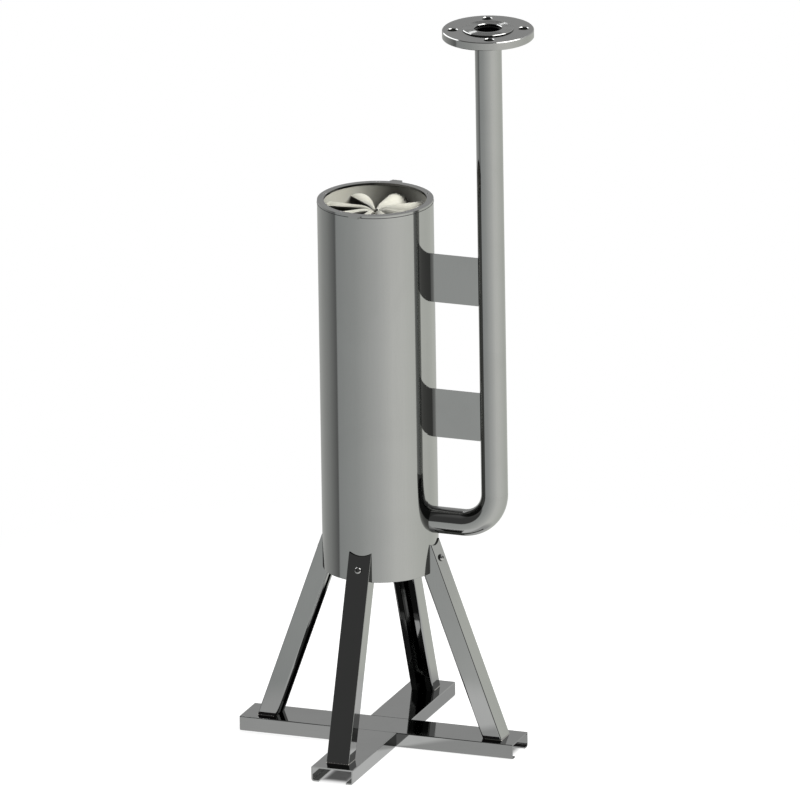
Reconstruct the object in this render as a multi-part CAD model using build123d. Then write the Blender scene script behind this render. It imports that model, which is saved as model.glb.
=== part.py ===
from build123d import *
import os
from math import cos, radians, sin, sqrt, tan

# Gas-liquid aerator on a four-legged stand, in millimetres.
# The origin is on the casing's axis at the floor, +Z is up, and the gas pipe stands on the +X side.

# Casing: the round tube that water rises through
casing_diameter = 165.2
casing_wall = 3.0
casing_length = 543.0
casing_bottom = 261.0
edge_break = 0.5

# Mixing cartridge: sleeves with vanes, stacked inside the casing on a ledge
element_count = 3
sleeve_wall = 6.0
slide_clearance = 0.3
ledge_width = 6.0
ledge_thickness = 4.0
ledge_gap = 0.3
outlet_gap = 18.4

# Vanes: upright sheets that turn over at the top, more the further they are from the axis
vane_count = 8
vane_start_angle = -4.0
vane_thickness = 3.0
vane_turn = 25.0
vane_core_turn = 3.5
vane_nose_angle = 24.0
vane_recess = 11.0
vane_crown = 2.0
vane_foot_gap = 9.0
vane_fit = 0.05
core_diameter = 12.0
pit_radius = 22.0
pit_depth = 10.0
pit_steps = 4

# Retaining ring that closes the casing's top edge and carries the cartridge
ring_thickness = 3.0
ring_overhang = 0.3
ear_width = 20.0
ear_tip_width = 14.0
ear_reach = 7.5
ring_screw_count = 5
ring_screw_start_angle = 36.0
ring_screw_diameter = 3.5
ring_screw_head = 6.0
ring_screw_length = 14.0

# Gas pipe: flange, down pipe, bends and the stub through the casing wall
pipe_diameter = 38.1
pipe_wall = 2.0
pipe_offset = 174.2
inlet_height = 76.3
bend_radius = 48.0
flange_rise = 273.5
flange_diameter = 130.0
flange_thickness = 14.0
raised_face_gap = 6.5
raised_face_height = 2.0
flange_bore_clearance = 0.3
pipe_setback = 5.0
bolt_edge_distance = 15.0
bolt_hole = 14.0
bolt_count = 4
bolt_start_angle = 22.0
flange_chamfer = 1.0

# Bracket plates between casing and pipe
bracket_height = 71.0
bracket_thickness = 3.0
bracket_lower_height = 236.0
bracket_upper_drop = 106.0

# Legs: tilted lipped channels with the web outwards
leg_count = 4
leg_width = 34.0
leg_depth = 27.5
leg_lip = 10.0
leg_sheet = 2.0
leg_tilt = 20.0
leg_grip = 38.0
leg_edge_radius = 1.5
leg_lip_bend = 1.0

# Lugs, and the button-head screws that hold the legs on the casing
lug_width = 22.0
lug_above_screw = 11.0
lug_below_screw = 11.0
leg_screw_diameter = 6.0
leg_screw_drop = 20.0
leg_screw_depth = 6.0
leg_screw_head = 10.5
leg_screw_rim = 0.6
leg_screw_head_height = 3.4
leg_screw_flat = 5.2
leg_screw_socket = 4.0
leg_screw_socket_depth = 2.0
leg_screw_hole_clearance = 0.5

# Base cross: lipped channels with the web on top
base_width = 63.0
base_height = 22.0
base_lip = 11.0
base_sheet = 2.0
base_edge_radius = 1.2
base_lip_bend = 2.0
arm_overhang = 21.5

# How far a cut runs past the faces that it goes through
cut_margin = 1.0

# Places worked out from the sizes above
casing_radius = casing_diameter / 2
casing_top = casing_bottom + casing_length
pipe_radius = pipe_diameter / 2
inlet_z = casing_bottom + inlet_height
bend_top = inlet_z + bend_radius
flange_face_height = casing_top + flange_rise
bolt_circle = flange_diameter - 2 * bolt_edge_distance
raised_face_diameter = bolt_circle - bolt_hole - 2 * raised_face_gap
sleeve_radius = casing_radius - casing_wall - slide_clearance
sleeve_bore_radius = sleeve_radius - sleeve_wall
ring_bore_radius = sleeve_bore_radius - ring_overhang
cartridge_bottom = bend_top + outlet_gap + ledge_thickness + ledge_gap
element_length = (casing_top - cartridge_bottom) / element_count
vane_height = element_length - vane_recess - vane_foot_gap
leg_top = casing_bottom + leg_grip
tilt = radians(leg_tilt)
leg_foot_radius = casing_radius + (leg_top - base_height) * tan(tilt) + leg_sheet / cos(tilt)
arm_length = leg_foot_radius + arm_overhang

# Directions of a leg that stands on the +X side: along the web, and out through it
down_web = Vector(sin(tilt), 0, -cos(tilt))
out_of_web = Vector(cos(tilt), 0, sin(tilt))
across = Vector(0, 1, 0)
web_touch = Vector(casing_radius, 0, leg_top)

leg_names = ["right", "back", "left", "front"]


def upright(radius, low, high, x=0.0):
    """A solid cylinder about a vertical axis at x."""
    return Pos(x, 0, low) * Cylinder(radius, high - low, align=(Align.CENTER, Align.CENTER, Align.MIN))


def tube(outer, inner, low, high, x=0.0):
    """A round tube about a vertical axis at x."""
    return upright(outer, low, high, x) - upright(inner, low - cut_margin, high + cut_margin, x)


def circle_edges(solid, radius, height):
    """The round edges of that radius at that height."""
    edges = solid.edges().filter_by(GeomType.CIRCLE)
    return [e for e in edges if abs(e.radius - radius) < 0.01 and abs(e.center().Z - height) < 0.01]


def lipped_channel(width, depth, lip, sheet, edge_radius, lip_bend):
    """Section of a lipped channel: web along the top at y = 0, open side down."""
    top = (Align.CENTER, Align.MAX)
    outer = Rectangle(width, depth, align=top)
    outer = fillet(outer.vertices().group_by(Axis.Y)[-1], edge_radius)
    outer = fillet(outer.vertices().group_by(Axis.Y)[0], lip_bend + sheet)
    inner = Pos(0, -sheet) * Rectangle(width - 2 * sheet, depth - 2 * sheet, align=top)
    inner = fillet(inner.vertices().group_by(Axis.Y)[0], lip_bend)
    slot = Pos(0, -depth / 2) * Rectangle(width - 2 * lip, depth, align=top)
    return outer - inner - slot


def casing_tube():
    """The casing, with the hole that the gas pipe enters by."""
    body = tube(casing_radius, casing_radius - casing_wall, casing_bottom, casing_top)
    rims = circle_edges(body, casing_radius, casing_bottom) + circle_edges(body, casing_radius, casing_top)
    body = chamfer(rims, edge_break)
    hole = Pos(casing_radius, 0, inlet_z) * Rot(0, 90, 0) * Cylinder(pipe_radius, casing_radius)
    return body - hole


def support_ledge():
    """The ring inside the casing that stops the cartridge from dropping onto the gas outlet."""
    top = cartridge_bottom - ledge_gap
    wall = casing_radius - casing_wall
    return tube(wall, wall - ledge_width, top - ledge_thickness, top)


def ring_screw_places():
    """Centres of the ring's screws, in the middle of the sleeve's wall."""
    radius = (sleeve_radius + sleeve_bore_radius) / 2
    return PolarLocations(radius, ring_screw_count, ring_screw_start_angle)


def ring_screw():
    """A countersunk screw with its head's face at z = 0."""
    slope = (ring_screw_head - ring_screw_diameter) / 2
    cone = Cone(ring_screw_diameter / 2, ring_screw_head / 2, slope)
    head = Pos(0, 0, -slope / 2) * cone
    length = ring_screw_length - slope
    return head + Pos(0, 0, -slope - length / 2) * Cylinder(ring_screw_diameter / 2, length)


def retaining_ring():
    """A flat ring with two tapered ears, front and back, and countersunk screw holes."""
    root = (casing_radius + ring_bore_radius) / 2
    tip = casing_radius + ear_reach
    ear = Polyline(
        (-ear_width / 2, root),
        (-ear_width / 2, casing_radius),
        (-ear_tip_width / 2, tip),
        (ear_tip_width / 2, tip),
        (ear_width / 2, casing_radius),
        (ear_width / 2, root),
        close=True,
    )
    flat = Circle(casing_radius) + make_face(ear) + Rot(0, 0, 180) * make_face(ear)
    flat -= Circle(ring_bore_radius)
    return Pos(0, 0, casing_top) * extrude(flat, ring_thickness) - ring_screws()


def ring_screws():
    """The screws that hold the ring on the upper sleeve."""
    return Compound(Pos(0, 0, casing_top + ring_thickness) * ring_screw_places() * ring_screw())


def sleeve(index):
    """One element's sleeve; the uppermost has the ring's screw holes."""
    top = casing_top - index * element_length
    body = tube(sleeve_radius, sleeve_bore_radius, top - element_length, top)
    if index == 0:
        body -= ring_screws()
    return body


def crest_height(distance):
    """Height of a vane's crest over its end at the wall: a slight crown, and an arc's dive into the pit."""
    crown = vane_crown * (1 - distance / sleeve_bore_radius)
    inside = max(0, pit_radius - distance)
    curve = (pit_radius**2 + pit_depth**2) / (2 * pit_depth)
    return crown - curve + sqrt(curve**2 - inside**2)


def vane_section(distance):
    """A vane's section, square to its radius at that distance from the axis, with the crest about y = 0."""
    turn = vane_core_turn + (vane_turn - vane_core_turn) * distance / sleeve_bore_radius
    middle = (0, crest_height(distance) - vane_turn)
    nose = 90 - vane_nose_angle
    over = EllipticalCenterArc(middle, turn, vane_turn, nose, arc_size=180 - nose)
    under = EllipticalCenterArc(
        middle, turn - vane_thickness, vane_turn - vane_thickness, nose, arc_size=180 - nose
    )
    foot = Polyline(over @ 1, (-turn, -vane_height), (vane_thickness - turn, -vane_height), under @ 1)
    tip = Line(under @ 0, over @ 0)
    return make_face([over.edge(), *foot.edges(), under.edge(), tip.edge()])


def plane_at(distance):
    """The upright plane square to the X axis at that distance, its own x along +Y."""
    return Plane(origin=(distance, 0, 0), x_dir=(0, 1, 0), z_dir=(1, 0, 0))


def vane():
    """The first vane: ruled from section to section outwards, trimmed to the bore and open over the core."""
    distances = [pit_radius * step / pit_steps for step in range(pit_steps + 1)]
    distances.append(sleeve_bore_radius + vane_turn)
    body = loft([plane_at(distance) * vane_section(distance) for distance in distances], ruled=True)
    body &= upright(sleeve_bore_radius - vane_fit, -vane_height - cut_margin, vane_turn)
    return Rot(0, 0, vane_start_angle) * (body - upright(core_diameter / 2, crest_height(0), vane_turn))


def vane_set():
    """A moulding of vanes about a slim core, its crest at the wall at z = 0."""
    core = upright(core_diameter / 2, -vane_height, crest_height(0))
    one = vane()
    return core + [Rot(0, 0, index * 360 / vane_count) * one for index in range(vane_count)]


def stacked(one_set, index):
    """A vane set at its height in the stack; every second one turns over the other way."""
    turned = one_set if index % 2 == 0 else mirror(one_set, about=Plane.XZ)
    return Pos(0, 0, casing_top - index * element_length - vane_recess) * turned


def pipe_ring():
    """The gas pipe's section."""
    return Circle(pipe_radius) - Circle(pipe_radius - pipe_wall)


def bend(axis_x, centre_x):
    """A quarter bend from the upright pipe at axis_x to the level of the inlet."""
    turn = Vector(0, axis_x - centre_x, 0)
    section = Pos(axis_x, 0, bend_top) * pipe_ring()
    return revolve(section, Axis((centre_x, 0, bend_top), turn), 90)


def inlet_stub():
    """The level pipe through the casing wall, between the two bends."""
    length = pipe_offset - 2 * bend_radius
    return Pos(bend_radius, 0, inlet_z) * Rot(0, 90, 0) * extrude(pipe_ring(), length)


def down_pipe():
    """The upright pipe from the bend to inside the flange."""
    top = flange_face_height - pipe_setback
    return tube(pipe_radius, pipe_radius - pipe_wall, bend_top, top, pipe_offset)


def inlet_flange():
    """A slip-on flange with a raised face and its bolt holes."""
    low = flange_face_height - flange_thickness
    shoulder = flange_face_height - raised_face_height
    disc = upright(flange_diameter / 2, low, shoulder, pipe_offset)
    rims = circle_edges(disc, flange_diameter / 2, low) + circle_edges(disc, flange_diameter / 2, shoulder)
    disc = chamfer(rims, flange_chamfer)
    face = upright(raised_face_diameter / 2, shoulder, flange_face_height, pipe_offset)
    face = chamfer(circle_edges(face, raised_face_diameter / 2, flange_face_height), edge_break)
    bore = pipe_radius + flange_bore_clearance
    body = disc + face - upright(bore, low - cut_margin, flange_face_height + cut_margin, pipe_offset)
    body = chamfer(circle_edges(body, bore, flange_face_height), edge_break)
    drill = upright(bolt_hole / 2, low - cut_margin, shoulder + cut_margin)
    places = PolarLocations(bolt_circle / 2, bolt_count, bolt_start_angle)
    body -= Pos(pipe_offset, 0, 0) * places * drill
    return chamfer(circle_edges(body, bolt_hole / 2, shoulder), edge_break)


def bracket(middle):
    """A plate in the casing-pipe plane, its ends shaped to the casing and the pipe."""
    plate = Pos(0, 0, middle) * Box(
        pipe_offset, bracket_thickness, bracket_height, align=(Align.MIN, Align.CENTER, Align.CENTER)
    )
    low = middle - bracket_height
    high = middle + bracket_height
    return plate - upright(casing_radius, low, high) - upright(pipe_radius, low, high, pipe_offset)


def web_point(down, out):
    """A point on a leg: down along the web from where it touches the casing, and out of its inner face."""
    return web_touch + down_web * down + out_of_web * out


def leg():
    """One leg on the +X side: web trimmed to the casing, side walls notched under its rim."""
    over = leg_width
    length = over + (leg_top - base_height) / cos(tilt) + leg_depth
    start = Plane(origin=web_point(-over, leg_sheet), x_dir=across, z_dir=down_web)
    section = lipped_channel(leg_width, leg_depth, leg_lip, leg_sheet, leg_edge_radius, leg_lip_bend)
    body = extrude(start * section, length)
    on_axis = Vector(0, 0, leg_top + casing_radius / tan(tilt))
    web_trim = Plane(origin=on_axis, x_dir=across, z_dir=out_of_web)
    body -= extrude(web_trim * Ellipse(casing_radius, casing_radius / sin(tilt)), 2 * leg_sheet)
    body -= upright(casing_radius, casing_bottom, casing_top)
    floor = Box(4 * arm_length, 4 * arm_length, arm_length, align=(Align.CENTER, Align.CENTER, Align.MAX))
    body -= Pos(0, 0, base_height) * floor
    hole = leg_screw_diameter / 2 + leg_screw_hole_clearance
    return body - on_screw_axis(upright(hole, -leg_sheet, 2 * leg_sheet))


def on_screw_axis(shape):
    """The shape set on the axis of the leg's screw, its z = 0 on the web's inner face and +Z outwards."""
    return Plane(origin=web_point(leg_screw_drop, 0), x_dir=across, z_dir=out_of_web).location * shape


def leg_lug():
    """A saddle block between the casing and the web, tapped for the screw."""
    length = lug_above_screw + lug_below_screw
    middle = leg_screw_drop + (lug_below_screw - lug_above_screw) / 2
    plane = Plane(origin=web_point(middle, 0), x_dir=across, z_dir=out_of_web)
    block = extrude(plane * Rectangle(lug_width, length), -leg_depth)
    block -= upright(casing_radius, casing_bottom - leg_grip, casing_top)
    return block - on_screw_axis(upright(leg_screw_diameter / 2, -leg_screw_depth, cut_margin))


def leg_screw():
    """A button-head screw with a hexagon socket, from inside the lug to its domed head on the web."""
    radius = leg_screw_head / 2
    rim = (radius, leg_screw_rim)
    crown = (leg_screw_flat / 2, leg_screw_head_height)
    outline = Polyline(crown, (0, leg_screw_head_height), (0, 0), (radius, 0), rim)
    dome = TangentArc(rim, crown, tangent=(0, 1))
    head = revolve(Plane.XZ * make_face(outline + dome), Axis.Z)
    hexagon = RegularPolygon(leg_screw_socket / 2, 6, major_radius=False)
    head -= Pos(0, 0, leg_screw_head_height) * extrude(hexagon, -leg_screw_socket_depth)
    shank = upright(leg_screw_diameter / 2, -leg_screw_depth, leg_sheet)
    return on_screw_axis(shank + Pos(0, 0, leg_sheet) * head)


def around(shape, index):
    """The shape turned to one of the leg places."""
    return Rot(0, 0, index * 360 / leg_count) * shape


def base_section():
    """The base channels' section."""
    return lipped_channel(base_width, base_height, base_lip, base_sheet, base_edge_radius, base_lip_bend)


def base_beam():
    """The long base channel, through from the left leg to the right one."""
    start = Plane(origin=(-arm_length, 0, base_height), x_dir=(0, 1, 0), z_dir=(1, 0, 0))
    return extrude(start * base_section(), 2 * arm_length)


def base_arm(side):
    """A short base channel, from the long one's side to under the front or the back leg."""
    start = Plane(origin=(0, side * base_width / 2, base_height), x_dir=(-side, 0, 0), z_dir=(0, side, 0))
    return extrude(start * base_section(), arm_length - base_width / 2)


def build_parts():
    """Every piece of the aerator by its name."""
    parts = {
        "casing_tube": casing_tube(),
        "support_ledge": support_ledge(),
        "retaining_ring": retaining_ring(),
        "ring_screws": ring_screws(),
        "down_pipe": down_pipe(),
        "supply_bend": bend(pipe_offset, pipe_offset - bend_radius),
        "inlet_stub": inlet_stub(),
        "outlet_bend": bend(0, bend_radius),
        "inlet_flange": inlet_flange(),
        "bracket_lower": bracket(casing_bottom + bracket_lower_height),
        "bracket_upper": bracket(casing_top - bracket_upper_drop),
        "base_beam": base_beam(),
        "base_arm_front": base_arm(-1),
        "base_arm_back": base_arm(1),
    }
    one_set = vane_set()
    for index in range(element_count):
        parts[f"sleeve_{index + 1}"] = sleeve(index)
        parts[f"vane_set_{index + 1}"] = stacked(one_set, index)
    one_leg = leg()
    one_lug = leg_lug()
    for index, name in enumerate(leg_names):
        parts[f"leg_{name}"] = around(one_leg, index)
        parts[f"leg_lug_{name}"] = around(one_lug, index)
    parts["leg_screws"] = Compound([around(leg_screw(), index) for index in range(leg_count)])
    return parts


os.makedirs("parts", exist_ok=True)
for node, shape in build_parts().items():
    export_step(shape, f"parts/{node}.step")
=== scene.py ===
import math

import bmesh
import bpy
import numpy as np
from mathutils import Matrix, Vector


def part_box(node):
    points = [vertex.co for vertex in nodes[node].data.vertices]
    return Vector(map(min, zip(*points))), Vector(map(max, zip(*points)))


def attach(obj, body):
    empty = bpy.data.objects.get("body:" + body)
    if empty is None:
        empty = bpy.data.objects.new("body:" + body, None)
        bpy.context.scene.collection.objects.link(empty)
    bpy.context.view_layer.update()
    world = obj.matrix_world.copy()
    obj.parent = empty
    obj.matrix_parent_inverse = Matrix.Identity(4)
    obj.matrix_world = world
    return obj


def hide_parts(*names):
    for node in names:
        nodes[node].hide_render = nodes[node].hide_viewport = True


# Gas-liquid aerator in polished steel with cream mixing vanes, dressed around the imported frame.
# Everything is in metres, the casing stands on the Z axis and the floor is at z = 0.

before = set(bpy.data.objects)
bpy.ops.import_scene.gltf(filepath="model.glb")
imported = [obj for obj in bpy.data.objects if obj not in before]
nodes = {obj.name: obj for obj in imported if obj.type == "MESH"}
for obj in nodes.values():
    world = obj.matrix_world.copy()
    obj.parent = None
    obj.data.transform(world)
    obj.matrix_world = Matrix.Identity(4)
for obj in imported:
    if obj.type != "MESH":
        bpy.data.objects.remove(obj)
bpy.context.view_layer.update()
print("frame loaded:", len(nodes), "nodes")


# small helpers for node trees

def addNode(tree, kind, inputs=None, **settings):
    # one node with its settings, and plain values in the named input sockets
    node = tree.nodes.new(kind)
    for key, value in settings.items():
        setattr(node, key, value)
    for key, value in (inputs or {}).items():
        node.inputs[key].default_value = value
    return node


def join(tree, source, target):
    tree.links.new(source, target)


def addMath(tree, operation, first, second=None, third=None):
    # a Math node; each of its inputs is a socket or a plain number
    node = addNode(tree, "ShaderNodeMath", operation=operation)
    for index, value in enumerate((first, second, third)):
        if value is None:
            continue
        if isinstance(value, (int, float)):
            node.inputs[index].default_value = value
        else:
            join(tree, value, node.inputs[index])
    return node.outputs[0]


def atMost(tree, depth, count):
    # 1 where a ray's depth, a whole number, is at most count, otherwise 0
    return addMath(tree, "LESS_THAN", depth, count + 0.5)


def addRamp(tree, factor, stops, interpolation="LINEAR"):
    # a colour ramp; stops are (place, colour) or (place, grey)
    node = addNode(tree, "ShaderNodeValToRGB")
    ramp = node.color_ramp
    ramp.interpolation = interpolation
    while len(ramp.elements) > 1:
        ramp.elements.remove(ramp.elements[-1])
    for index, (place, colour) in enumerate(stops):
        element = ramp.elements[0] if index == 0 else ramp.elements.new(place)
        element.position = place
        tone = (colour,) * 3 if isinstance(colour, (int, float)) else tuple(colour)
        element.color = (*tone, 1.0)
    join(tree, factor, node.inputs["Fac"])
    return node.outputs["Color"]


def addMix(tree, factor, first, second):
    # a colour mix; each input is a socket, or a plain value, or a colour; the colour sockets are 6 and 7
    node = addNode(tree, "ShaderNodeMix", data_type="RGBA")
    for index, value in ((0, factor), (6, first), (7, second)):
        if isinstance(value, (int, float)):
            node.inputs[index].default_value = value
        elif isinstance(value, tuple):
            node.inputs[index].default_value = (*value, 1.0)
        else:
            join(tree, value, node.inputs[index])
    return node.outputs[2]


def smoothStep(tree, value, low, high):
    # 0 below low, 1 above high, and an S curve between them
    step = addNode(tree, "ShaderNodeMapRange", interpolation_type="SMOOTHSTEP",
                   inputs={"From Min": low, "From Max": high})
    join(tree, value, step.inputs["Value"])
    return step.outputs[0]


def newGroup(name, inputs, outputs):
    # a shader node group; inputs are (name, socket kind, default), outputs (name, socket kind)
    tree = bpy.data.node_groups.new(name, "ShaderNodeTree")
    for label, kind, default in inputs:
        socket = tree.interface.new_socket(label, in_out="INPUT", socket_type=kind)
        socket.default_value = default
    for label, kind in outputs:
        tree.interface.new_socket(label, in_out="OUTPUT", socket_type=kind)
    return tree, tree.nodes.new("NodeGroupInput"), tree.nodes.new("NodeGroupOutput")


# the mesh of every piece that is worked out on a grid

def surfacePiece(name, grids, closedAlong=False, closedAcross=False, startCap=False, endCap=False,
                 smooth=True):
    # grids[k, i, j] is a point; rows i and columns j become quads, and a cap is one face over a row
    # a closed form whose faces point inwards, by the sign of its volume, has its columns turned round
    count, rows, columns = grids.shape[:3]
    if closedAcross and (closedAlong or (startCap and endCap)):
        following = np.roll(grids, -1, axis=1) if closedAlong else grids[:, 1:]
        here = grids if closedAlong else grids[:, :-1]
        corner = here - grids.mean(axis=(1, 2), keepdims=True)
        across = np.roll(here, -1, axis=2) - here
        along = following - here
        if np.einsum("kijc,kijc->", corner, np.cross(across, along)) < 0:
            grids = grids[:, :, ::-1]
    index = np.arange(count * rows * columns).reshape(count, rows, columns)
    i = np.arange(rows if closedAlong else rows - 1)
    j = np.arange(columns if closedAcross else columns - 1)
    iNext, jNext = (i + 1) % rows, (j + 1) % columns
    quads = np.stack([index[:, i][:, :, j], index[:, i][:, :, jNext],
                      index[:, iNext][:, :, jNext], index[:, iNext][:, :, j]], axis=-1).reshape(-1, 4)
    faces = quads.tolist()
    if startCap:
        faces += index[:, 0, ::-1].tolist()
    if endCap:
        faces += index[:, -1].tolist()
    mesh = bpy.data.meshes.new(name)
    mesh.from_pydata(grids.reshape(-1, 3).tolist(), [], faces)
    mesh.polygons.foreach_set("use_smooth", np.full(len(mesh.polygons), smooth))
    mesh.update()
    piece = bpy.data.objects.new(name, mesh)
    bpy.context.scene.collection.objects.link(piece)
    return piece


# camera: the picture's own view, nearly parallel; angles in degrees

cameraValues = {
    "azimuth": 20.8849, "elevation": 18.1812, "roll": 0.8819,
    "target": (0.0412041, -0.0220070, 0.5180117), "distance": 47.2239,
    "lens": 1500.0, "sensorWidth": 36.0, "clipStart": 1.0, "clipEnd": 200.0,
}


def buildCamera(v):
    # looks at the target from the azimuth and elevation, turned about its own line of sight by the roll
    a, e, r = (math.radians(v[k]) for k in ("azimuth", "elevation", "roll"))
    right = Vector((math.cos(a), math.sin(a), 0))
    back = Vector((math.sin(a) * math.cos(e), -math.cos(a) * math.cos(e), math.sin(e)))
    up = back.cross(right)
    turnedRight = right * math.cos(r) - up * math.sin(r)
    turnedUp = right * math.sin(r) + up * math.cos(r)
    data = bpy.data.cameras.new("pictureCamera")
    data.lens = v["lens"]
    data.sensor_width = v["sensorWidth"]
    data.clip_start = v["clipStart"]
    data.clip_end = v["clipEnd"]
    camera = bpy.data.objects.new("pictureCamera", data)
    bpy.context.scene.collection.objects.link(camera)
    rotation = Matrix((turnedRight, turnedUp, back)).transposed().to_4x4()
    camera.matrix_world = Matrix.Translation(Vector(v["target"]) + back * v["distance"]) @ rotation
    bpy.context.scene.camera = camera


buildCamera(cameraValues)
bpy.context.scene.view_settings.view_transform = "Standard"
print("camera placed")


# studio: white for the eye, soft grey tones round about for the polished steel

studioValues = {
    "frontAzimuth": -69.12,      # where the turns of the tones are counted from, in degrees from +X
    "ambient": 0.04,             # plain light from all sides on matt surfaces
    "floorRadius": 9.0, "floorRings": 12, "floorSectors": 96, "innerRing": 0.0001,
    "floorGlow": 0.90, "shadowShare": 0.34,      # near the object; far away the floor is plain white
    "shadowFrom": 0.55, "shadowTo": 1.10,
    "mattTone": (0.80, 0.80, 0.79),
    "baseArm": 0.207, "baseHalf": 0.0315,        # the outline of the base cross
    # painted shade: well inside the base cross's outline the floor's glow is taken out, so the ground under
    # the channels shows dark; the matt share adds its real shadow
    "insideGlow": 0.045,         # the share of the floor's glow that is left well inside that outline
    "clearFrom": -0.020, "clearTo": 0.0,
    "nearFrom": 0.24, "nearTo": 0.34,
    # painted shade: the dark patch on the floor that only first mirror rays see
    "shadePatchTone": 0.012, "shadePatchInner": 0.066, "shadePatchInnerSoft": 0.010, "shadePatchOuter": 0.44, "shadePatchOuterSoft": 0.030,
    "horizonLow": -0.07, "horizonHigh": 0.03,
    "zenithLow": 0.62, "zenithHigh": 0.85, "zenithTone": 0.10,
}
# tones of the floor and of the room above it, by turns about the casing from frontAzimuth
floorTones = [
    (0.000, (0.560, 0.565, 0.555)), (0.080, (0.700, 0.700, 0.680)), (0.140, (0.715, 0.715, 0.690)),
    (0.190, (0.680, 0.685, 0.655)), (0.320, (0.590, 0.600, 0.565)), (0.390, (0.600, 0.610, 0.570)),
    (0.500, (0.480, 0.485, 0.470)), (0.600, (0.410, 0.415, 0.405)), (0.690, (0.280, 0.285, 0.280)),
    (0.757, (0.130, 0.132, 0.132)), (0.763, (0.340, 0.350, 0.350)), (0.880, (0.405, 0.415, 0.410)),
    (1.000, (0.560, 0.565, 0.555)),
]
roomTones = [
    (0.000, 0.055), (0.200, 0.075), (0.300, 0.300), (0.370, 0.520), (0.430, 0.420), (0.500, 0.350),
    (0.590, 0.330), (0.680, 0.120), (0.800, 0.055), (1.000, 0.055),
]
# tones of the floor close to the base cross, seen only in the steel: painted shade, darker where the floor's
# shadow about the base would fall
nearTones = [
    (0.000, 0.650), (0.055, 0.640), (0.080, 0.410), (0.250, 0.420), (0.280, 0.580), (0.345, 0.580),
    (0.365, 0.400), (0.440, 0.400), (0.560, 0.420), (0.690, 0.450), (0.810, 0.450), (0.830, 0.500),
    (0.930, 0.560), (0.960, 0.650), (1.000, 0.650),
]
# painted shade: where a dark patch is painted on the floor, close behind the left arm, for first mirror rays
# only; it stands in for the floor's shadow seen in the steel
shadePatchPlace = [(0.000, 0.0), (0.445, 0.0), (0.460, 1.0), (0.630, 1.0), (0.642, 0.0), (1.000, 0.0)]


def turnsAbout(tree, vector, v):
    # share of a full turn about Z, from frontAzimuth, that a direction or place lies at
    parts = addNode(tree, "ShaderNodeSeparateXYZ")
    join(tree, vector, parts.inputs[0])
    angle = addMath(tree, "ARCTAN2", parts.outputs["Y"], parts.outputs["X"])
    shifted = addMath(tree, "SUBTRACT", angle, math.radians(v["frontAzimuth"]))
    return addMath(tree, "FRACT", addMath(tree, "DIVIDE", shifted, 2 * math.pi)), parts


def rayKinds(tree):
    # eye: 1 for the eye's own rays and for rays through glass; mirror: 1 for mirror rays
    path = addNode(tree, "ShaderNodeLightPath")
    eye = addMath(tree, "MAXIMUM", path.outputs["Is Camera Ray"], path.outputs["Is Transmission Ray"])
    return eye, path.outputs["Is Glossy Ray"]


def buildWorld(v):
    # white behind the object for the eye, the room's tones in the steel, and plain ambient light
    world = bpy.data.worlds.new("studio")
    world.use_nodes = True
    tree = world.node_tree
    tree.nodes.clear()
    place = addNode(tree, "ShaderNodeTexCoord")
    turns, parts = turnsAbout(tree, place.outputs["Generated"], v)
    floorTone = addRamp(tree, turns, floorTones)
    roomTone = addRamp(tree, turns, roomTones)
    height = smoothStep(tree, parts.outputs["Z"], v["horizonLow"], v["horizonHigh"])
    top = smoothStep(tree, parts.outputs["Z"], v["zenithLow"], v["zenithHigh"])
    tone = addMix(tree, height, floorTone, roomTone)
    tone = addMix(tree, top, tone, (v["zenithTone"],) * 3)
    eye, mirror = rayKinds(tree)
    colour = addMix(tree, mirror, (v["ambient"],) * 3, tone)
    colour = addMix(tree, eye, colour, (1.0, 1.0, 1.0))
    shine = addNode(tree, "ShaderNodeBackground")
    join(tree, colour, shine.inputs["Color"])
    out = addNode(tree, "ShaderNodeOutputWorld")
    join(tree, shine.outputs[0], out.inputs["Surface"])
    bpy.context.scene.world = world


def outsideBase(tree, parts, v):
    # distance out of the base cross's outline: the nearer of two bars, each the larger of its two overruns
    x = addMath(tree, "ABSOLUTE", parts.outputs["X"])
    y = addMath(tree, "ABSOLUTE", parts.outputs["Y"])
    bars = []
    for along, over in ((x, y), (y, x)):
        bars.append(addMath(tree, "MAXIMUM", addMath(tree, "SUBTRACT", along, v["baseArm"]),
                            addMath(tree, "SUBTRACT", over, v["baseHalf"])))
    return addMath(tree, "MINIMUM", *bars)


def paintedShadePatch(tree, reach, turns, v):
    # painted shade: 1 on the dark patch, between its inner and its outer radius, but 0 wherever a second
    # mirror ray meets it
    inside = smoothStep(tree, reach, v["shadePatchInner"], v["shadePatchInner"] + v["shadePatchInnerSoft"])
    beyond = smoothStep(tree, reach, v["shadePatchOuter"] - v["shadePatchOuterSoft"], v["shadePatchOuter"])
    shadePatch = addMath(tree, "MULTIPLY", inside, addMath(tree, "SUBTRACT", 1.0, beyond))
    shadePatch = addMath(tree, "MULTIPLY", shadePatch, addRamp(tree, turns, shadePatchPlace))
    path = addNode(tree, "ShaderNodeLightPath")
    return addMath(tree, "MULTIPLY", shadePatch, atMost(tree, path.outputs["Glossy Depth"], 1))


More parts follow.
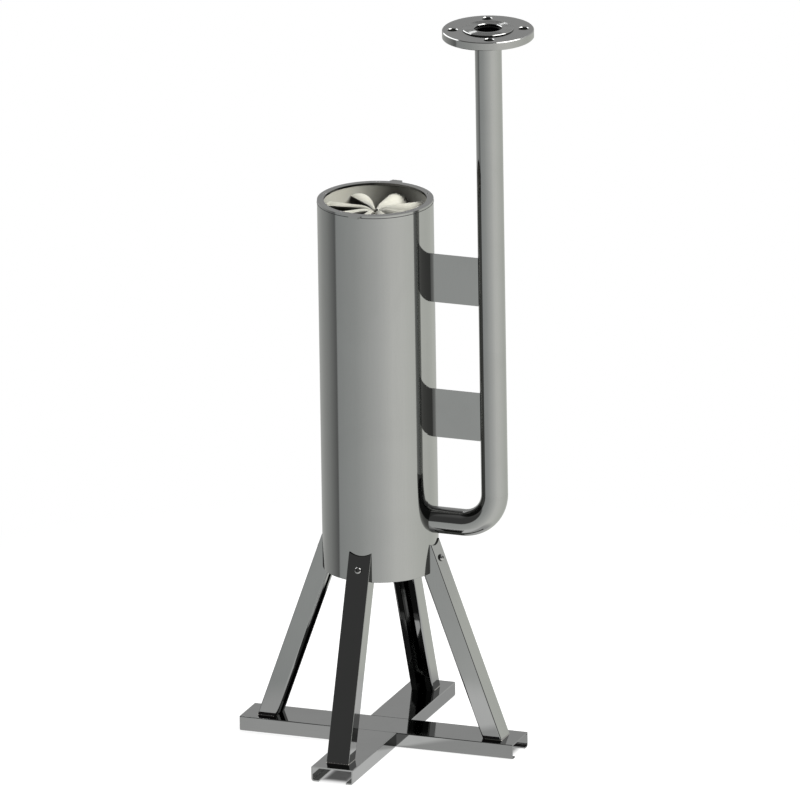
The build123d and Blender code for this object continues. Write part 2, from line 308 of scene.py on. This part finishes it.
def floorMaterial(v):
    # for the eye a glow that turns white far away, plus a little matt floor that takes the shadow
    # for mirror rays a glow in the floor's tones, for all others a matt floor
    material = bpy.data.materials.new("studioFloor")
    material.use_nodes = True
    tree = material.node_tree
    tree.nodes.clear()
    place = addNode(tree, "ShaderNodeTexCoord")
    turns, parts = turnsAbout(tree, place.outputs["Object"], v)
    length = addNode(tree, "ShaderNodeVectorMath", operation="LENGTH")
    join(tree, place.outputs["Object"], length.inputs[0])
    reach = length.outputs["Value"]
    far = smoothStep(tree, reach, v["nearFrom"], v["nearTo"])
    tone = addMix(tree, far, addRamp(tree, turns, nearTones), addRamp(tree, turns, floorTones))
    # painted shade in the steel: the floor's tone goes dark on the patch
    tone = addMix(tree, paintedShadePatch(tree, reach, turns, v), tone, (v["shadePatchTone"],) * 3)
    plain = smoothStep(tree, reach, v["shadowFrom"], v["shadowTo"])
    # painted shade: the glow fades out inside the base outline, so the floor under the channels shows dark
    clear = smoothStep(tree, outsideBase(tree, parts, v), v["clearFrom"], v["clearTo"])
    clear = addMath(tree, "MULTIPLY_ADD", clear, 1 - v["insideGlow"], v["insideGlow"])
    glow = addMath(tree, "MULTIPLY_ADD", plain, 1 - v["floorGlow"], v["floorGlow"])
    glow = addMath(tree, "MULTIPLY", clear, glow)
    eye, mirror = rayKinds(tree)
    glowColour = addMix(tree, mirror, (0.0, 0.0, 0.0), tone)
    glowColour = addMix(tree, eye, glowColour, glow)
    shine = addNode(tree, "ShaderNodeEmission")
    join(tree, glowColour, shine.inputs["Color"])
    shadowed = addMath(tree, "MULTIPLY_ADD", plain, -v["shadowShare"], v["shadowShare"])
    mattColour = addMix(tree, mirror, v["mattTone"], (0.0, 0.0, 0.0))
    mattColour = addMix(tree, eye, mattColour, shadowed)
    matt = addNode(tree, "ShaderNodeBsdfDiffuse")
    join(tree, mattColour, matt.inputs["Color"])
    both = addNode(tree, "ShaderNodeAddShader")
    join(tree, shine.outputs[0], both.inputs[0])
    join(tree, matt.outputs[0], both.inputs[1])
    out = addNode(tree, "ShaderNodeOutputMaterial")
    join(tree, both.outputs[0], out.inputs["Surface"])
    return material


def buildFloor(v):
    # a pale round floor: a disc of rings about the casing's foot, its radius growing as a square
    rings, sectors = v["floorRings"], v["floorSectors"]
    share = np.linspace(0, 1, rings) ** 2
    turn = np.linspace(0, 2 * np.pi, sectors, endpoint=False)
    radius = v["floorRadius"] * np.maximum(share, v["innerRing"])
    grid = np.stack([np.outer(radius, np.cos(turn)), np.outer(radius, np.sin(turn)),
                     np.zeros((rings, sectors))], axis=-1)
    floor = surfacePiece("studioFloor", grid[None], closedAcross=True, startCap=True)
    floor.data.materials.append(floorMaterial(v))


# azimuth and elevation in degrees, the rest in metres; brightness 1 looks white
# mirrorShare is what a surface's own mirror rays find of the brightness, laterShare what later rays find
softBoxes = {
    "keyBox": {"azimuth": 13.0, "elevation": 54.0, "distance": 3.2, "width": 1.60, "height": 2.35,
               "brightness": 12.2, "mirrorShare": 0.28, "laterShare": 0.05,
               "colour": (1.0, 0.995, 0.975)},
    "rimBox": {"azimuth": 162.0, "elevation": 38.0, "distance": 3.26, "width": 2.3, "height": 2.2,
               "brightness": 2.4, "mirrorShare": 0.90, "laterShare": 0.05,
               "colour": (0.985, 0.99, 1.0)},
}
lampTarget = (0.05, 0.0, 0.5)


def buildSoftBox(name, v):
    # a flat lamp that faces the middle of the object; power is brightness times pi times area
    a, e = math.radians(v["azimuth"]), math.radians(v["elevation"])
    towards = Vector((math.cos(a) * math.cos(e), math.sin(a) * math.cos(e), math.sin(e)))
    data = bpy.data.lights.new(name, "AREA")
    data.shape = "RECTANGLE"
    data.size = v["width"]
    data.size_y = v["height"]
    data.color = v["colour"]
    data.energy = v["brightness"] * math.pi * v["width"] * v["height"]
    # strength: 1 where a first surface looks for the lamp, mirrorShare at depth 2, laterShare after that
    data.use_nodes = True
    tree = data.node_tree
    depth = addNode(tree, "ShaderNodeLightPath").outputs["Ray Depth"]
    mirrorShare, laterShare = v["mirrorShare"], v["laterShare"]
    strength = addMath(tree, "MULTIPLY_ADD", atMost(tree, depth, 2), mirrorShare - laterShare, laterShare)
    strength = addMath(tree, "MULTIPLY_ADD", atMost(tree, depth, 1), 1 - mirrorShare, strength)
    join(tree, strength, tree.nodes["Emission"].inputs["Strength"])
    lamp = bpy.data.objects.new(name, data)
    bpy.context.scene.collection.objects.link(lamp)
    rotation = towards.to_track_quat("Z", "Y").to_matrix().to_4x4()
    lamp.matrix_world = Matrix.Translation(Vector(lampTarget) + towards * v["distance"]) @ rotation
    lamp.visible_camera = False


buildWorld(studioValues)
buildFloor(studioValues)
for boxName, boxValues in softBoxes.items():
    buildSoftBox(boxName, boxValues)
print("studio ready")


# finishes

# which noise counts as haze and as a stray scratch, and how much each mark adds
polishValues = {
    "hazeStops": [(0.38, 0.0), (0.72, 1.0)],
    "strayStops": [(0.494, 0.0), (0.499, 1.0), (0.501, 1.0), (0.506, 0.0)],
    "lineRough": 0.05, "strayRough": 0.06,
    "lineShade": 0.06, "hazeShade": -0.03,
    "strayHeight": -0.5,
}


def polishMarksGroup(v):
    # what polishing leaves: long fine lines, a slow haze and thin stray scratches
    # lines: noise stretched along one axis; haze: coarse noise; scratches: narrow bands of a warped noise
    tree, given, result = newGroup(
        "polishMarks",
        [("Stretch", "NodeSocketVector", (1.0, 1.0, 1.0)), ("Fineness", "NodeSocketFloat", 900.0),
         ("Haze Size", "NodeSocketFloat", 9.0), ("Smooth", "NodeSocketFloat", 0.05),
         ("Hazy", "NodeSocketFloat", 0.12), ("Tint", "NodeSocketColor", (0.58, 0.59, 0.58, 1.0))],
        [("Color", "NodeSocketColor"), ("Roughness", "NodeSocketFloat"), ("Height", "NodeSocketFloat")])
    place = addNode(tree, "ShaderNodeTexCoord")
    stretched = addNode(tree, "ShaderNodeVectorMath", operation="MULTIPLY")
    join(tree, place.outputs["Object"], stretched.inputs[0])
    join(tree, given.outputs["Stretch"], stretched.inputs[1])
    lines = addNode(tree, "ShaderNodeTexNoise", inputs={"Detail": 3.0, "Roughness": 0.65})
    join(tree, stretched.outputs[0], lines.inputs["Vector"])
    join(tree, given.outputs["Fineness"], lines.inputs["Scale"])
    haze = addNode(tree, "ShaderNodeTexNoise", inputs={"Detail": 4.0, "Roughness": 0.6, "Distortion": 0.7})
    join(tree, place.outputs["Object"], haze.inputs["Vector"])
    join(tree, given.outputs["Haze Size"], haze.inputs["Scale"])
    hazeMask = addRamp(tree, haze.outputs["Fac"], v["hazeStops"], "EASE")
    stray = addNode(tree, "ShaderNodeTexNoise", inputs={"Scale": 38.0, "Detail": 1.0, "Distortion": 2.2})
    join(tree, place.outputs["Object"], stray.inputs["Vector"])
    strayMask = addRamp(tree, stray.outputs["Fac"], v["strayStops"])
    strayMask = addMath(tree, "MULTIPLY", strayMask, hazeMask)
    # a noise swings about its middle, 0.5
    lineTone = addMath(tree, "SUBTRACT", lines.outputs["Fac"], 0.5)
    rough = addMath(tree, "SUBTRACT", given.outputs["Hazy"], given.outputs["Smooth"])
    rough = addMath(tree, "MULTIPLY_ADD", rough, hazeMask, given.outputs["Smooth"])
    rough = addMath(tree, "MULTIPLY_ADD", lineTone, v["lineRough"], rough)
    rough = addMath(tree, "MULTIPLY_ADD", strayMask, v["strayRough"], rough)
    join(tree, rough, result.inputs["Roughness"])
    shade = addMath(tree, "MULTIPLY_ADD", lineTone, v["lineShade"], 1.0)
    shade = addMath(tree, "MULTIPLY_ADD", hazeMask, v["hazeShade"], shade)
    colour = addNode(tree, "ShaderNodeVectorMath", operation="SCALE")
    join(tree, given.outputs["Tint"], colour.inputs[0])
    join(tree, shade, colour.inputs["Scale"])
    join(tree, colour.outputs[0], result.inputs["Color"])
    height = addMath(tree, "MULTIPLY_ADD", strayMask, v["strayHeight"], lines.outputs["Fac"])
    join(tree, height, result.inputs["Height"])
    return tree


mouldValues = {"mottleShare": 0.65, "flowShare": 0.35, "deepStops": [(0.36, 0.0), (0.62, 1.0)]}


def mouldedGroup(v):
    # moulded plastic: slow mottling of the colour, flow lines, and a fine orange peel for the height
    tree, given, result = newGroup(
        "mouldedPlastic",
        [("Light", "NodeSocketColor", (0.86, 0.85, 0.76, 1.0)),
         ("Deep", "NodeSocketColor", (0.80, 0.78, 0.67, 1.0)),
         ("Mottle Size", "NodeSocketFloat", 26.0), ("Peel Size", "NodeSocketFloat", 1400.0),
         ("Smooth", "NodeSocketFloat", 0.36), ("Dull", "NodeSocketFloat", 0.50)],
        [("Color", "NodeSocketColor"), ("Roughness", "NodeSocketFloat"), ("Height", "NodeSocketFloat")])
    place = addNode(tree, "ShaderNodeTexCoord")
    mottle = addNode(tree, "ShaderNodeTexNoise", inputs={"Detail": 5.0, "Roughness": 0.55, "Distortion": 0.9})
    join(tree, place.outputs["Object"], mottle.inputs["Vector"])
    join(tree, given.outputs["Mottle Size"], mottle.inputs["Scale"])
    flow = addNode(tree, "ShaderNodeTexNoise", inputs={"Scale": 90.0, "Detail": 2.0, "Distortion": 3.0})
    join(tree, place.outputs["Object"], flow.inputs["Vector"])
    blend = addMath(tree, "MULTIPLY", mottle.outputs["Fac"], v["mottleShare"])
    blend = addMath(tree, "MULTIPLY_ADD", flow.outputs["Fac"], v["flowShare"], blend)
    mask = addRamp(tree, blend, v["deepStops"], "EASE")
    colour = addMix(tree, mask, given.outputs["Light"], given.outputs["Deep"])
    join(tree, colour, result.inputs["Color"])
    rough = addMath(tree, "SUBTRACT", given.outputs["Dull"], given.outputs["Smooth"])
    rough = addMath(tree, "MULTIPLY_ADD", rough, mottle.outputs["Fac"], given.outputs["Smooth"])
    join(tree, rough, result.inputs["Roughness"])
    peel = addNode(tree, "ShaderNodeTexNoise", inputs={"Detail": 2.0, "Roughness": 0.5})
    join(tree, place.outputs["Object"], peel.inputs["Vector"])
    join(tree, given.outputs["Peel Size"], peel.inputs["Scale"])
    join(tree, peel.outputs["Fac"], result.inputs["Height"])
    return tree


polishMarks = polishMarksGroup(polishValues)
mouldedPlastic = mouldedGroup(mouldValues)


def finishMaterial(name, group, groupValues, shaderValues, bump, paintedShadeShares):
    # a Principled surface whose colour, roughness and fine relief come from a group
    # paintedShadeShares: the share of the colour left to a first mirror ray, to a deeper one, and to a
    # diffuse ray; this is painted shade, so that steel seen in steel and plastic lit by bounce light come out
    # darker
    material = bpy.data.materials.new(name)
    material.use_nodes = True
    tree = material.node_tree
    tree.nodes.clear()
    marks = addNode(tree, "ShaderNodeGroup", node_tree=group)
    for key, value in groupValues.items():
        marks.inputs[key].default_value = value
    shader = addNode(tree, "ShaderNodeBsdfPrincipled", inputs=shaderValues)
    path = addNode(tree, "ShaderNodeLightPath")
    first, deeper, diffuse = paintedShadeShares
    # mirrored: 1 for every mirror ray; twice: 1 from the second one on, as a depth is a whole number
    mirrored = addMath(tree, "MINIMUM", path.outputs["Glossy Depth"], 1.0)
    twice = addMath(tree, "GREATER_THAN", path.outputs["Glossy Depth"], 1.5)
    share = addMath(tree, "MULTIPLY_ADD", mirrored, first - 1, 1.0)
    share = addMath(tree, "MULTIPLY_ADD", twice, deeper - first, share)
    matt = addMath(tree, "MULTIPLY_ADD", path.outputs["Is Diffuse Ray"], diffuse - 1, 1.0)
    share = addMath(tree, "MULTIPLY", share, matt)
    # painted shade: the colour is scaled down for mirror rays and bounce rays
    fainter = addNode(tree, "ShaderNodeVectorMath", operation="SCALE")
    join(tree, marks.outputs["Color"], fainter.inputs[0])
    join(tree, share, fainter.inputs["Scale"])
    join(tree, fainter.outputs[0], shader.inputs["Base Color"])
    join(tree, marks.outputs["Roughness"], shader.inputs["Roughness"])
    relief = addNode(tree, "ShaderNodeBump", inputs={"Strength": bump["strength"], "Distance": bump["depth"]})
    join(tree, marks.outputs["Height"], relief.inputs["Height"])
    join(tree, relief.outputs["Normal"], shader.inputs["Normal"])
    out = addNode(tree, "ShaderNodeOutputMaterial")
    join(tree, shader.outputs[0], out.inputs["Surface"])
    return material


steelShader = {"Metallic": 1.0, "IOR": 2.4}
steelBump = {"strength": 0.05, "depth": 0.00004}
tubeTint = (0.585, 0.592, 0.580, 1.0)
sheetTint = (0.580, 0.588, 0.578, 1.0)
# painted shade shares (first mirror ray, deeper mirror rays, bounce rays): darker reflections of steel in
# steel, darker shade between the cream vanes
tubeSeen = (0.17, 1.0, 1.0)
pipeSeen = (0.55, 1.0, 1.0)
sheetSeen = (0.14, 1.0, 1.0)
plasticSeen = (0.30, 0.30, 0.08)
seamShadeSeen = (1.0, 1.0, 1.0)
finishes = {
    # upright tubes, polished lengthways
    "tubeSteel": finishMaterial("tubeSteel", polishMarks, {
        "Stretch": (1.0, 1.0, 0.02), "Fineness": 700.0, "Haze Size": 7.0, "Smooth": 0.045, "Hazy": 0.085,
        "Tint": tubeTint}, steelShader, steelBump, tubeSeen),
    "pipeSteel": finishMaterial("pipeSteel", polishMarks, {
        "Stretch": (1.0, 1.0, 0.02), "Fineness": 800.0, "Haze Size": 12.0, "Smooth": 0.040, "Hazy": 0.075,
        "Tint": tubeTint}, steelShader, steelBump, pipeSeen),
    # turned faces: flange, ring, ledge
    "turnedSteel": finishMaterial("turnedSteel", polishMarks, {
        "Stretch": (1.0, 1.0, 1.0), "Fineness": 1100.0, "Haze Size": 16.0, "Smooth": 0.10, "Hazy": 0.19,
        "Tint": (0.575, 0.580, 0.568, 1.0)}, steelShader, {"strength": 0.10, "depth": 0.00006},
        sheetSeen),
    # folded sheet: legs, bracket plates, lugs
    "sheetSteel": finishMaterial("sheetSteel", polishMarks, {
        "Stretch": (1.0, 1.0, 0.05), "Fineness": 800.0, "Haze Size": 11.0, "Smooth": 0.035, "Hazy": 0.075,
        "Tint": sheetTint}, steelShader, steelBump, sheetSeen),
    # base channels, polished on the flat
    "baseSteel": finishMaterial("baseSteel", polishMarks, {
        "Stretch": (0.05, 0.05, 1.0), "Fineness": 800.0, "Haze Size": 12.0, "Smooth": 0.035, "Hazy": 0.080,
        "Tint": sheetTint}, steelShader, steelBump, sheetSeen),
    "boltSteel": finishMaterial("boltSteel", polishMarks, {
        "Stretch": (1.0, 1.0, 1.0), "Fineness": 2200.0, "Haze Size": 60.0, "Smooth": 0.14, "Hazy": 0.24,
        "Tint": (0.66, 0.66, 0.65, 1.0)}, steelShader, {"strength": 0.15, "depth": 0.00005},
        sheetSeen),
    "weldSteel": finishMaterial("weldSteel", polishMarks, {
        "Stretch": (1.0, 1.0, 1.0), "Fineness": 1500.0, "Haze Size": 40.0, "Smooth": 0.16, "Hazy": 0.30,
        "Tint": (0.60, 0.585, 0.55, 1.0)}, steelShader, {"strength": 0.2, "depth": 0.00008},
        sheetSeen),
    "creamPlastic": finishMaterial("creamPlastic", mouldedPlastic, {
        "Light": (0.865, 0.858, 0.765, 1.0), "Deep": (0.825, 0.812, 0.705, 1.0), "Mottle Size": 24.0,
        "Peel Size": 1300.0, "Smooth": 0.34, "Dull": 0.50}, {"Metallic": 0.0, "IOR": 1.49},
        {"strength": 0.08, "depth": 0.00006}, plasticSeen),
    # painted shade: the black of the ring that stands in for the seam's shade
    "seamShadeBlack": finishMaterial("seamShadeBlack", mouldedPlastic, {
        "Light": (0.022, 0.022, 0.023, 1.0), "Deep": (0.012, 0.012, 0.013, 1.0), "Mottle Size": 60.0,
        "Peel Size": 2600.0, "Smooth": 0.52, "Dull": 0.68}, {"Metallic": 0.0, "IOR": 1.50},
        {"strength": 0.12, "depth": 0.00005}, seamShadeSeen),
}
nodeFinishes = {
    "tubeSteel": ["casing_tube", "supply_bend", "outlet_bend", "inlet_stub"],
    "pipeSteel": ["down_pipe"],
    "turnedSteel": ["inlet_flange", "retaining_ring", "support_ledge"],
    "sheetSteel": ["leg_right", "leg_back", "leg_left", "leg_front", "bracket_lower", "bracket_upper",
                   "leg_lug_right", "leg_lug_back", "leg_lug_left", "leg_lug_front"],
    "baseSteel": ["base_beam", "base_arm_front", "base_arm_back"],
    "boltSteel": ["leg_screws"],
    "creamPlastic": ["sleeve_1", "sleeve_2", "sleeve_3", "vane_set_1", "vane_set_2", "vane_set_3"],
}
for finishName, nodeNames in nodeFinishes.items():
    for nodeName in nodeNames:
        nodes[nodeName].material_slots[0].material = finishes[finishName]
print("finishes made:", ", ".join(finishes))


# what the frame says about the parts that the new pieces sit on, in metres

def frameSizes():
    # radii and heights read from the nodes' boxes
    pipeLow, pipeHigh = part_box("down_pipe")
    flangeLow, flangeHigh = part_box("inlet_flange")
    legLow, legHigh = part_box("leg_right")
    return {
        "casingTop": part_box("casing_tube")[1][2], "ringTop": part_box("retaining_ring")[1][2],
        "pipeRadius": (pipeHigh[0] - pipeLow[0]) / 2, "pipeAxis": (pipeHigh[0] + pipeLow[0]) / 2,
        "flangeLow": flangeLow[2], "flangeTop": flangeHigh[2],
        "footRadius": legHigh[0], "footHeight": legLow[2], "legHalf": legHigh[1],
    }


sizes = frameSizes()


def turnedAbout(grid, angle):
    # the grid turned about the Z axis
    c, s = math.cos(angle), math.sin(angle)
    return grid @ np.array([[c, s, 0.0], [-s, c, 0.0], [0.0, 0.0, 1.0]])


def dress(piece, finishName, bodyName):
    # gives a new piece its finish and its body
    piece.data.materials.append(finishes[finishName])
    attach(piece, bodyName)


# weld beads

weldValues = {
    "flangeLeg": 0.0017, "footLeg": 0.0009,
    "bulge": 0.16,               # how far a bead swells over the straight line between its toes, of its leg
    "sink": 0.0002,              # how far its hidden edges lie inside the parts
    "rippleDepth": 0.05, "ripplePitch": 0.0013, "ripplePoints": 4,
    "acrossPoints": 7,
    "legTilt": 20.0, "legCorner": 0.0015,        # the leg channel's lean, in degrees, and its outer corner
    "sideLength": 0.0235,        # how far a foot's bead runs back along its side walls
    "sidePoints": 70, "cornerPoints": 8, "webPoints": 50,
}


def beadGrid(corner, away, upWall, leg, v):
    # across: from a toe one leg away on one surface to a toe one leg up the other, on a straight line that
    # swells by a half sine, then back through the sunk corner; along: the leg ripples as |sin| of the path
    step = np.linalg.norm(np.diff(corner, axis=0), axis=1)
    path = np.concatenate([[0.0], np.cumsum(step)])[:, None, None]
    ripple = 1 - v["rippleDepth"] * np.abs(np.sin(np.pi * path / v["ripplePitch"]))
    s = np.linspace(0, 1, v["acrossPoints"])[None, :, None]
    corner, away, upWall = corner[:, None, :], away[:, None, :], upWall[:, None, :]
    size = leg * ripple
    line = corner + size * ((1 - s) * away + s * upWall)
    line = line + size * v["bulge"] * np.sin(np.pi * s) * (away + upWall)
    first = corner + size * away - v["sink"] * upWall
    last = corner + size * upWall - v["sink"] * away
    inner = corner - v["sink"] * (away + upWall)
    return np.concatenate([first, line, last, inner], axis=1)


def flangeBead(v, m):
    # a level ring about the gas pipe, under the flange: toes out along the flange and down the pipe
    count = int(2 * math.pi * m["pipeRadius"] / v["ripplePitch"]) * v["ripplePoints"]
    t = np.linspace(0, 2 * np.pi, count, endpoint=False)
    spoke = np.stack([np.cos(t), np.sin(t), np.zeros(count)], axis=-1)
    corner = np.array([m["pipeAxis"], 0.0, m["flangeLow"]]) + m["pipeRadius"] * spoke
    down = np.tile([0.0, 0.0, -1.0], (count, 1))
    return beadGrid(corner, spoke, down, v["flangeLeg"], v)[None]


def footBeads(v, m):
    # round each foot's web and side walls: side, quarter round, web, quarter round, side
    r, half = v["legCorner"], m["legHalf"]
    lean = math.radians(v["legTilt"])
    sideRun = np.linspace(v["sideLength"], r, v["sidePoints"])[:-1]
    arc = np.linspace(0, np.pi / 2, v["cornerPoints"])[:-1]
    webRun = np.linspace(half - r, 0, v["webPoints"])
    y = np.concatenate([np.full_like(sideRun, half), half - r + r * np.cos(arc), webRun])
    depth = np.concatenate([sideRun, r - r * np.sin(arc), np.zeros_like(webRun)])
    facing = np.concatenate([np.zeros_like(sideRun), arc, np.full_like(webRun, np.pi / 2)])
    y = np.concatenate([y, -y[-2::-1]])
    depth = np.concatenate([depth, depth[-2::-1]])
    facing = np.concatenate([facing, np.pi - facing[-2::-1]])
    x = m["footRadius"] - depth / math.cos(lean)
    corner = np.stack([x, y, np.full_like(y, m["footHeight"])], axis=-1)
    away = np.stack([np.sin(facing), np.cos(facing), np.zeros_like(y)], axis=-1)
    upWall = np.tile([-math.sin(lean), 0.0, math.cos(lean)], (len(y), 1))
    bead = beadGrid(corner, away, upWall, v["footLeg"], v)
    return np.stack([turnedAbout(bead, math.radians(angle)) for angle in (0, 90, 180, 270)])


def buildWelds(v, m):
    flangeWeld = surfacePiece("flangeWeld", flangeBead(v, m), closedAlong=True, closedAcross=True)
    footWelds = surfacePiece("footWelds", footBeads(v, m), closedAcross=True, startCap=True, endCap=True)
    for piece in (flangeWeld, footWelds):
        dress(piece, "weldSteel", "stand")


buildWelds(weldValues, sizes)
print("weld beads laid")


# the flange, with the water lines turned into its raised face

flangeValues = {
    "firstGroove": 0.0235, "groovePitch": 0.0020, "grooveCount": 6,
    "grooveHalf": 0.00055, "grooveDepth": 0.00025,
    "grooveOver": 1.5,           # length of a groove's flanks in the cutter, of their length in the face
    "faceRadius": 0.0365, "faceRise": 0.0020, "boreRadius": 0.01935, "rimCut": 0.0008,
    "holeCount": 4, "holeRadius": 0.0070, "holeCircle": 0.0500, "holeTurn": 22.0, "holeCut": 0.0009,
    "bevelOver": 0.4,            # how far a bevel's cutter reaches out past the metal, of its cut
    "points": 180, "sharpAngle": 24.0,
    "joinWithin": 0.000001, "cleanWithin": 0.00001,
}


def ringGrids(section, centres, points):
    # closed rings: each corner (r, z) of a section goes round its centre as (cx + r cos t, cy + r sin t, z)
    t = np.linspace(0, 2 * np.pi, points, endpoint=False)[None, :, None]
    radius = section[:, None, :, 0]
    place = centres[:, None, None, :]
    x = place[..., 0] + radius * np.cos(t)
    y = place[..., 1] + radius * np.sin(t)
    return np.stack([x, y, section[:, None, :, 1] + 0 * t], axis=-1)


def flangeCuts(v, m):
    # grooves: V sections in the raised face, their corners at (r - over * half, top + rise),
    # (r, top - depth) and (r + over * half, top + rise), with rise = (over - 1) * depth
    top, half, over = m["flangeTop"], v["grooveHalf"], v["grooveOver"]
    rise = (over - 1) * v["grooveDepth"]
    radius = v["firstGroove"] + v["groovePitch"] * np.arange(v["grooveCount"])
    offset = np.array([-over * half, 0.0, over * half])
    height = top + np.array([rise, -v["grooveDepth"], rise])
    grooves = np.stack([radius[:, None] + offset, height + 0 * radius[:, None]], axis=-1)
    # bevels: the corner past the line from (r, z - cut) to (r + side * cut, z)
    edges = [(v["faceRadius"], -1, top, v["rimCut"]), (v["boreRadius"], 1, top, v["rimCut"])]
    edges += [(v["holeRadius"], 1, top - v["faceRise"], v["holeCut"])] * v["holeCount"]
    bevels = []
    for r, side, z, cut in edges:
        past = v["bevelOver"] * cut
        edge = r - side * past
        corners = [(edge, z - cut - past), (r + side * (cut + past), z + past), (edge, z + past)]
        bevels.append(corners[::side])
    angle = math.radians(v["holeTurn"]) + np.arange(v["holeCount"]) * 2 * np.pi / v["holeCount"]
    centres = np.zeros((len(grooves) + len(bevels), 2))
    centres[-v["holeCount"]:, 0] = v["holeCircle"] * np.cos(angle)
    centres[-v["holeCount"]:, 1] = v["holeCircle"] * np.sin(angle)
    centres[:, 0] += m["pipeAxis"]
    return ringGrids(np.concatenate([grooves, np.array(bevels)]), centres, v["points"])


def mergeMesh(mesh, within, dissolve=False):
    # joins the points that lie within this distance; dissolve also takes out what has shrunk to nothing
    shape = bmesh.new()
    shape.from_mesh(mesh)
    bmesh.ops.remove_doubles(shape, verts=shape.verts, dist=within)
    if dissolve:
        bmesh.ops.dissolve_degenerate(shape, edges=shape.edges, dist=within)
    shape.to_mesh(mesh)
    shape.free()


def buildFlange(v, m):
    # a merged copy of the frame's flange with the water-line grooves and the bevels cut out of it
    mesh = nodes["inlet_flange"].data.copy()
    mesh.name = "groovedFlange"
    storedNormals = mesh.attributes.get("custom_normal")
    if storedNormals:
        mesh.attributes.remove(storedNormals)
    mergeMesh(mesh, v["joinWithin"])
    flange = bpy.data.objects.new("groovedFlange", mesh)
    bpy.context.scene.collection.objects.link(flange)
    rings = surfacePiece("flangeCuts", flangeCuts(v, m), closedAlong=True, closedAcross=True)
    cut = flange.modifiers.new("grooves", "BOOLEAN")
    cut.operation = "DIFFERENCE"
    cut.solver = "EXACT"
    cut.object = rings
    bpy.context.view_layer.update()
    result = bpy.data.meshes.new_from_object(flange.evaluated_get(bpy.context.evaluated_depsgraph_get()))
    flange.modifiers.clear()
    flange.data = result
    bpy.data.objects.remove(rings)
    mergeMesh(result, v["cleanWithin"], dissolve=True)
    result.materials.clear()
    result.polygons.foreach_set("use_smooth", np.ones(len(result.polygons), dtype=bool))
    result.set_sharp_from_angle(angle=math.radians(v["sharpAngle"]))
    dress(flange, "turnedSteel", "stand")
    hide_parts("inlet_flange")
    print("flange grooved:", len(result.polygons), "faces")


buildFlange(flangeValues, sizes)


# painted shade: a thin black ring that stands in for the shade in the seam between the retaining ring and the
# casing's bevelled edge

seamShadeValues = {
    "outer": 0.08295, "depth": 0.0016, "height": 0.0010,
    "proud": 0.00004,            # how far it stands above the casing's top
    "points": 240, "acrossPoints": 12,
}


def buildSeamShade(v, m):
    # a ring of flattened round section: the radius and the height go as cosine and sine of the way round it
    t = np.linspace(0, 2 * np.pi, v["points"], endpoint=False)[:, None]
    a = np.linspace(0, 2 * np.pi, v["acrossPoints"], endpoint=False)[None, :]
    radius = v["outer"] - v["depth"] / 2 * (1 - np.cos(a))
    height = m["casingTop"] - v["height"] / 2 * (1 - np.sin(a)) + v["proud"]
    grid = np.stack([radius * np.cos(t), radius * np.sin(t), height + 0 * t], axis=-1)
    # painted shade: the black ring in the seam under the retaining ring
    piece = surfacePiece("ringSeamShade", grid[None], closedAlong=True, closedAcross=True)
    dress(piece, "seamShadeBlack", "cartridge")


buildSeamShade(seamShadeValues, sizes)
print("seal laid")


# the ring's countersunk screws, with hexagon sockets

ringScrewValues = {
    "count": 5, "startAngle": 36.0, "placeRadius": 0.0763,
    "headRadius": 0.0030, "shankRadius": 0.00175, "length": 0.014,
    "tipRadius": 0.6, "tipLength": 0.4,          # of the shank's radius
    "edgeBreak": 0.00015, "socketHalf": 0.0010, "socketDepth": 0.0012, "recess": 0.0001,
    "pitRadius": 0.3, "pitDepth": 0.2,           # the socket's floor, of its half width
    "points": 48,
}


def ringScrewGrid(v):
    # a profile turned about Z, from the tip up the shank and the cone to the face, then down the socket,
    # whose radius is its half width over the cosine of the angle from the nearest flat's middle
    turn = np.linspace(0, 2 * np.pi, v["points"], endpoint=False)
    flat = (turn + np.pi / 6) % (np.pi / 3) - np.pi / 6
    hexagon = v["socketHalf"] / np.cos(flat)
    plain = np.ones_like(turn)
    cone = v["headRadius"] - v["shankRadius"]
    rows = [
        (v["tipRadius"] * v["shankRadius"] * plain, -v["length"]),
        (v["shankRadius"] * plain, -v["length"] + v["tipLength"] * v["shankRadius"]),
        (v["shankRadius"] * plain, -cone),
        (v["headRadius"] * plain, -v["edgeBreak"]),
        ((v["headRadius"] - v["edgeBreak"]) * plain, 0.0),
        (hexagon + v["edgeBreak"], 0.0),
        (hexagon, -v["edgeBreak"]),
        (hexagon, -v["socketDepth"]),
        (v["pitRadius"] * hexagon, -v["socketDepth"] - v["pitDepth"] * v["socketHalf"]),
    ]
    return np.stack([np.stack([r * np.cos(turn), r * np.sin(turn), np.full_like(turn, z)], axis=-1)
                     for r, z in rows])


def buildRingScrews(v, m):
    one = ringScrewGrid(v) + np.array([v["placeRadius"], 0.0, m["ringTop"] - v["recess"]])
    angles = math.radians(v["startAngle"]) + np.arange(v["count"]) * 2 * np.pi / v["count"]
    grids = np.stack([turnedAbout(one, angle) for angle in angles])
    piece = surfacePiece("ringScrews", grids, closedAcross=True, startCap=True, endCap=True, smooth=False)
    dress(piece, "boltSteel", "cartridge")
    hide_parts("ring_screws")


buildRingScrews(ringScrewValues, sizes)
print("ring screws set")
